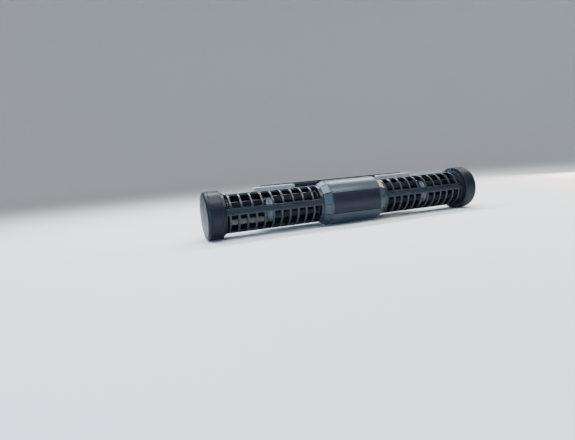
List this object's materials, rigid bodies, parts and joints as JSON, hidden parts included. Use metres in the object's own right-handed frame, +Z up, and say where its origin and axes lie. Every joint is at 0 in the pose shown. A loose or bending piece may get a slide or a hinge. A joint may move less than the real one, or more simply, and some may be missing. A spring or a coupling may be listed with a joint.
{
  "type": "wave maker pump",
  "caption": "Long cross-flow aquarium wave pump: a central motor block, a grille cage with a vaned rotor on each side, round end caps, and a magnetic glass bracket behind.",
  "frame": {"origin": "on the plane of the aquarium glass, behind the middle of the motor block and level with the rotor axis", "axes": "+X along the rotor axis to the right as seen from the front, +Y into the glass, +Z up; the front of the pump faces -Y"},
  "size_m": [0.377, 0.0671, 0.057],
  "materials": {
    "housing_plastic": "fine satin moulded texture, slate grey",
    "panel_plastic": "smoother and darker than the housing",
    "cage_plastic": "satin moulded grille, slate grey",
    "cap_plastic": "satin moulded drum, slate grey",
    "rotor_plastic": "satin moulded vanes, slate grey",
    "pod_plastic": "paler satin grey",
    "bracket_plastic": "dark satin",
    "gland_plastic": "black nylon",
    "well_plastic": "smooth black",
    "washer_plastic": "white low-friction plastic",
    "magnet_alloy": "coated magnet",
    "core_steel": "stacked laminations",
    "coil_copper": "enamelled winding",
    "cast_resin": "cast resin",
    "board_laminate": "green circuit board",
    "shaft_ceramic": "polished white ceramic",
    "bush_ceramic": "white ceramic",
    "seal_rubber": "black rubber",
    "pad_rubber": "soft black rubber",
    "screw_steel": "stainless"
  },
  "bodies": {
    "bracket": {"bracket_frame": "bracket_plastic", "centre_pad": "pad_rubber", "pod_screws": "screw_steel", "left_magnet_pod": "pod_plastic", "left_glass_magnet": "magnet_alloy", "left_glass_pad": "pad_rubber", "right_magnet_pod": "pod_plastic", "right_glass_magnet": "magnet_alloy", "right_glass_pad": "pad_rubber"},
    "motor_block": {"housing_front": "housing_plastic", "housing_rear": "housing_plastic", "badge_panel": "panel_plastic", "cable_gland": "gland_plastic", "gland_nut": "gland_plastic", "stator_core": "core_steel", "stator_coils": "coil_copper", "potting_resin": "cast_resin", "sensor_board": "board_laminate", "left_collar": "housing_plastic", "left_magnet_well": "well_plastic", "left_well_seal": "seal_rubber", "left_inner_bush": "bush_ceramic", "right_collar": "housing_plastic", "right_magnet_well": "well_plastic", "right_well_seal": "seal_rubber", "right_inner_bush": "bush_ceramic"},
    "left_cage": {"left_upper_grille": "cage_plastic", "left_lower_grille": "cage_plastic", "left_lock_ring": "cage_plastic", "left_end_cap": "cap_plastic", "left_cap_cover": "cap_plastic", "left_bush_holder": "cage_plastic", "left_end_bush": "bush_ceramic"},
    "right_cage": {"right_upper_grille": "cage_plastic", "right_lower_grille": "cage_plastic", "right_lock_ring": "cage_plastic", "right_end_cap": "cap_plastic", "right_cap_cover": "cap_plastic", "right_bush_holder": "cage_plastic", "right_end_bush": "bush_ceramic"},
    "left_rotor": {"left_shaft": "shaft_ceramic", "left_drive_magnet": "magnet_alloy", "left_magnet_sleeve": "rotor_plastic", "left_inner_disc": "rotor_plastic", "left_inner_vanes": "rotor_plastic", "left_mid_hub": "rotor_plastic", "left_outer_vanes": "rotor_plastic", "left_outer_disc": "rotor_plastic", "left_thrust_washers": "washer_plastic"},
    "right_rotor": {"right_shaft": "shaft_ceramic", "right_drive_magnet": "magnet_alloy", "right_magnet_sleeve": "rotor_plastic", "right_inner_disc": "rotor_plastic", "right_inner_vanes": "rotor_plastic", "right_mid_hub": "rotor_plastic", "right_outer_vanes": "rotor_plastic", "right_outer_disc": "rotor_plastic", "right_thrust_washers": "washer_plastic"}
  },
  "joints": [
    {"name": "pump_aim", "type": "hinge", "parent": "bracket", "child": "motor_block", "pos_m": [0, -0.0386, 0], "axis": [1, 0, 0], "range_deg": [-12, 12]},
    {"name": "left_cage_twist", "type": "hinge", "parent": "motor_block", "child": "left_cage", "pos_m": [0, -0.0386, 0], "axis": [-1, 0, 0], "range_deg": [0, 25]},
    {"name": "right_cage_twist", "type": "hinge", "parent": "motor_block", "child": "right_cage", "pos_m": [0, -0.0386, 0], "axis": [-1, 0, 0], "range_deg": [0, 25]},
    {"name": "left_rotor_spin", "type": "hinge", "parent": "motor_block", "child": "left_rotor", "pos_m": [0, -0.0386, 0], "axis": [1, 0, 0], "continuous": true},
    {"name": "right_rotor_spin", "type": "hinge", "parent": "motor_block", "child": "right_rotor", "pos_m": [0, -0.0386, 0], "axis": [1, 0, 0], "continuous": true}
  ],
  "couplings": [
    {"joint": "right_rotor_spin", "follows": "left_rotor_spin", "ratio": 1}
  ]
}
